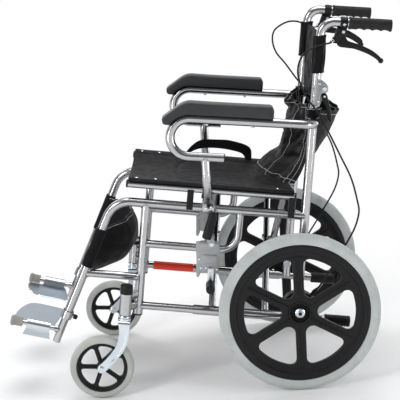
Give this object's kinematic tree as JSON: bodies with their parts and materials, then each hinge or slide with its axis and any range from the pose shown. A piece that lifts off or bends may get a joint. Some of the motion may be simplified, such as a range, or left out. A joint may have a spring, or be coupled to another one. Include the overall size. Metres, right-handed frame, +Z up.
{
  "type": "folding wheelchair",
  "caption": "Folding transit wheelchair: cross brace, fold-down back, mag rear wheels, swivelling casters, sling seat, hand and parking brakes, sliding footrests.",
  "frame": {"origin": "on the floor, under the centre of the whole chair's box", "axes": "the chair faces -X, +Z is up, the user's left is -Y and right is +Y"},
  "size_m": [0.983, 0.5566, 0.9108],
  "materials": {
    "satin_aluminium": "satin anodised tube",
    "bright_zinc": "bright bluish zinc plating",
    "black_plastic": "moulded, fine grain",
    "dark_moulded_foam": "dense skinned foam",
    "grey_tyre": "solid light grey tyre, fine tread",
    "black_cloth": "black woven nylon with white stitching"
  },
  "bodies": {
    "left_frame": {"side_frame_left": "satin_aluminium", "tipping_cap_left": "black_plastic", "seat_saddle_front_left": "black_plastic", "seat_saddle_rear_left": "black_plastic", "armrest_frame_left": "satin_aluminium", "armrest_pad_left": "dark_moulded_foam", "rear_axle_left": "bright_zinc", "hub_brake_left": "black_plastic", "back_hinge_bracket_left": "bright_zinc", "parking_brake_bracket_left": "bright_zinc", "brake_cable_left": "black_plastic", "back_panel": "black_cloth", "back_pocket": "black_cloth", "calf_strap": "black_cloth"},
    "right_frame": {"side_frame_right": "satin_aluminium", "tipping_cap_right": "black_plastic", "seat_saddle_front_right": "black_plastic", "seat_saddle_rear_right": "black_plastic", "armrest_frame_right": "satin_aluminium", "armrest_pad_right": "dark_moulded_foam", "rear_axle_right": "bright_zinc", "hub_brake_right": "black_plastic", "back_hinge_bracket_right": "bright_zinc", "parking_brake_bracket_right": "bright_zinc", "brake_cable_right": "black_plastic"},
    "brace_a": {"brace_arm_a": "satin_aluminium", "pivot_bolt_front": "bright_zinc", "pivot_bolt_rear": "bright_zinc", "seat_sling_right": "black_cloth"},
    "brace_b": {"brace_arm_b": "satin_aluminium", "seat_sling_left": "black_cloth"},
    "left_back": {"back_post_left": "satin_aluminium", "handle_grip_left": "black_plastic", "hand_brake_body_left": "black_plastic", "back_sling": "black_cloth"},
    "left_latch": {"hinge_latch_left": "black_plastic"},
    "left_brake_lever": {"hand_brake_lever_left": "black_plastic"},
    "left_brake_lock": {"hand_brake_lock_left": "black_plastic"},
    "left_caster_fork": {"caster_fork_left": "bright_zinc"},
    "left_caster_wheel": {"caster_wheel_left": "grey_tyre"},
    "left_rear_wheel": {"rear_tyre_left": "grey_tyre", "rear_rim_left": "black_plastic"},
    "left_parking_lever": {"parking_brake_lever_left": "black_plastic"},
    "left_parking_shoe": {"parking_brake_shoe_left": "black_plastic"},
    "left_footrest": {"footrest_tube_left": "satin_aluminium"},
    "left_footplate": {"footplate_left": "bright_zinc"},
    "right_back": {"back_post_right": "satin_aluminium", "handle_grip_right": "black_plastic", "hand_brake_body_right": "black_plastic"},
    "right_latch": {"hinge_latch_right": "black_plastic"},
    "right_brake_lever": {"hand_brake_lever_right": "black_plastic"},
    "right_brake_lock": {"hand_brake_lock_right": "black_plastic"},
    "right_caster_fork": {"caster_fork_right": "bright_zinc"},
    "right_caster_wheel": {"caster_wheel_right": "grey_tyre"},
    "right_rear_wheel": {"rear_tyre_right": "grey_tyre", "rear_rim_right": "black_plastic"},
    "right_parking_lever": {"parking_brake_lever_right": "black_plastic"},
    "right_parking_shoe": {"parking_brake_shoe_right": "black_plastic"},
    "right_footrest": {"footrest_tube_right": "satin_aluminium"},
    "right_footplate": {"footplate_right": "bright_zinc"}
  },
  "joints": [
    {"name": "brace_fold", "type": "hinge", "parent": "left_frame", "child": "brace_a", "pos_m": [0.25781, -0.19, 0.15941], "axis": [0.9901, 0, -0.14], "range_deg": [0, 40.2], "deforming": ["seat_sling_left", "seat_sling_right", "back_sling", "back_panel", "back_pocket", "calf_strap"]},
    {"name": "brace_cross", "type": "hinge", "parent": "brace_a", "child": "brace_b", "pos_m": [0.27951, 0, 0.31289], "axis": [0.9901, 0, -0.14], "range_deg": [-80.4, 0]},
    {"name": "right_frame_hinge", "type": "hinge", "parent": "brace_b", "child": "right_frame", "pos_m": [0.25781, 0.19, 0.15941], "axis": [0.9901, 0, -0.14], "range_deg": [0, 40.2]},
    {"name": "left_back_fold", "type": "hinge", "parent": "left_frame", "child": "left_back", "pos_m": [0.32177, -0.19, 0.741], "axis": [0, 1, 0], "range_deg": [0, 95], "deforming": ["brake_cable_left"]},
    {"name": "left_latch_press", "type": "hinge", "parent": "left_frame", "child": "left_latch", "pos_m": [0.32177, -0.19, 0.7215], "axis": [0, -1, 0], "range_deg": [0, 20], "stiffness_Nm_per_rad": 0.3, "springref_deg": -11.46},
    {"name": "left_brake_squeeze", "type": "hinge", "parent": "left_back", "child": "left_brake_lever", "pos_m": [0.37268, -0.19, 0.87405], "axis": [0, -1, 0], "range_deg": [0, 22], "stiffness_Nm_per_rad": 1.2, "springref_deg": -17.19},
    {"name": "left_brake_lock_press", "type": "hinge", "parent": "left_back", "child": "left_brake_lock", "pos_m": [0.37268, -0.19, 0.87405], "axis": [0, 1, 0], "range_deg": [0, 12], "stiffness_Nm_per_rad": 0.2, "springref_deg": -11.46},
    {"name": "left_caster_swivel", "type": "hinge", "parent": "left_frame", "child": "left_caster_fork", "pos_m": [-0.19887, -0.243, 0.20027], "axis": [0.14, 0, 0.9901], "continuous": true},
    {"name": "left_caster_roll", "type": "hinge", "parent": "left_caster_fork", "child": "left_caster_wheel", "pos_m": [-0.26277, -0.243, 0.0805], "axis": [0, 1, 0], "continuous": true},
    {"name": "left_wheel_roll", "type": "hinge", "parent": "left_frame", "child": "left_rear_wheel", "pos_m": [0.23526, -0.263, 0.2], "axis": [0, 1, 0], "continuous": true},
    {"name": "left_parking_set", "type": "hinge", "parent": "left_frame", "child": "left_parking_lever", "pos_m": [0.02793, -0.19, 0.37202], "axis": [0, -1, 0], "range_deg": [0, 55]},
    {"name": "left_parking_shoe_swing", "type": "hinge", "parent": "left_frame", "child": "left_parking_shoe", "pos_m": [0.02193, -0.19, 0.30552], "axis": [0, -1, 0], "range_deg": [0, 30]},
    {"name": "left_footrest_slide", "type": "slide", "parent": "left_frame", "child": "left_footrest", "axis": [-0.4337, 0, -0.9011], "range_m": [-0.012, 0.045]},
    {"name": "left_footplate_flip", "type": "hinge", "parent": "left_footrest", "child": "left_footplate", "pos_m": [-0.36496, -0.19, 0.1665], "axis": [0.965, 0, -0.2622], "range_deg": [0, 100]},
    {"name": "right_back_fold", "type": "hinge", "parent": "right_frame", "child": "right_back", "pos_m": [0.32177, 0.19, 0.741], "axis": [0, 1, 0], "range_deg": [0, 95], "deforming": ["brake_cable_right"]},
    {"name": "right_latch_press", "type": "hinge", "parent": "right_frame", "child": "right_latch", "pos_m": [0.32177, 0.19, 0.7215], "axis": [0, -1, 0], "range_deg": [0, 20], "stiffness_Nm_per_rad": 0.3, "springref_deg": -11.46},
    {"name": "right_brake_squeeze", "type": "hinge", "parent": "right_back", "child": "right_brake_lever", "pos_m": [0.37268, 0.19, 0.87405], "axis": [0, -1, 0], "range_deg": [0, 22], "stiffness_Nm_per_rad": 1.2, "springref_deg": -17.19},
    {"name": "right_brake_lock_press", "type": "hinge", "parent": "right_back", "child": "right_brake_lock", "pos_m": [0.37268, 0.19, 0.87405], "axis": [0, 1, 0], "range_deg": [0, 12], "stiffness_Nm_per_rad": 0.2, "springref_deg": -11.46},
    {"name": "right_caster_swivel", "type": "hinge", "parent": "right_frame", "child": "right_caster_fork", "pos_m": [-0.19887, 0.243, 0.20027], "axis": [0.14, 0, 0.9901], "continuous": true},
    {"name": "right_caster_roll", "type": "hinge", "parent": "right_caster_fork", "child": "right_caster_wheel", "pos_m": [-0.26277, 0.243, 0.0805], "axis": [0, 1, 0], "continuous": true},
    {"name": "right_wheel_roll", "type": "hinge", "parent": "right_frame", "child": "right_rear_wheel", "pos_m": [0.23526, 0.263, 0.2], "axis": [0, 1, 0], "continuous": true},
    {"name": "right_parking_set", "type": "hinge", "parent": "right_frame", "child": "right_parking_lever", "pos_m": [0.02793, 0.19, 0.37202], "axis": [0, -1, 0], "range_deg": [0, 55]},
    {"name": "right_parking_shoe_swing", "type": "hinge", "parent": "right_frame", "child": "right_parking_shoe", "pos_m": [0.02193, 0.19, 0.30552], "axis": [0, -1, 0], "range_deg": [0, 30]},
    {"name": "right_footrest_slide", "type": "slide", "parent": "right_frame", "child": "right_footrest", "axis": [-0.4337, 0, -0.9011], "range_m": [-0.012, 0.045]},
    {"name": "right_footplate_flip", "type": "hinge", "parent": "right_footrest", "child": "right_footplate", "pos_m": [-0.36496, 0.19, 0.1665], "axis": [-0.965, 0, 0.2622], "range_deg": [0, 100]}
  ],
  "couplings": [
    {"joint": "brace_cross", "follows": "brace_fold", "ratio": -2},
    {"joint": "right_frame_hinge", "follows": "brace_fold", "ratio": 1},
    {"joint": "left_parking_shoe_swing", "follows": "left_parking_set", "ratio": 0.5454},
    {"joint": "left_footplate_flip", "follows": "brace_fold", "ratio": 2.48},
    {"joint": "right_parking_shoe_swing", "follows": "right_parking_set", "ratio": 0.5454},
    {"joint": "right_footplate_flip", "follows": "brace_fold", "ratio": 2.48},
    {"joint": "right_back_fold", "follows": "left_back_fold", "ratio": 1}
  ]
}
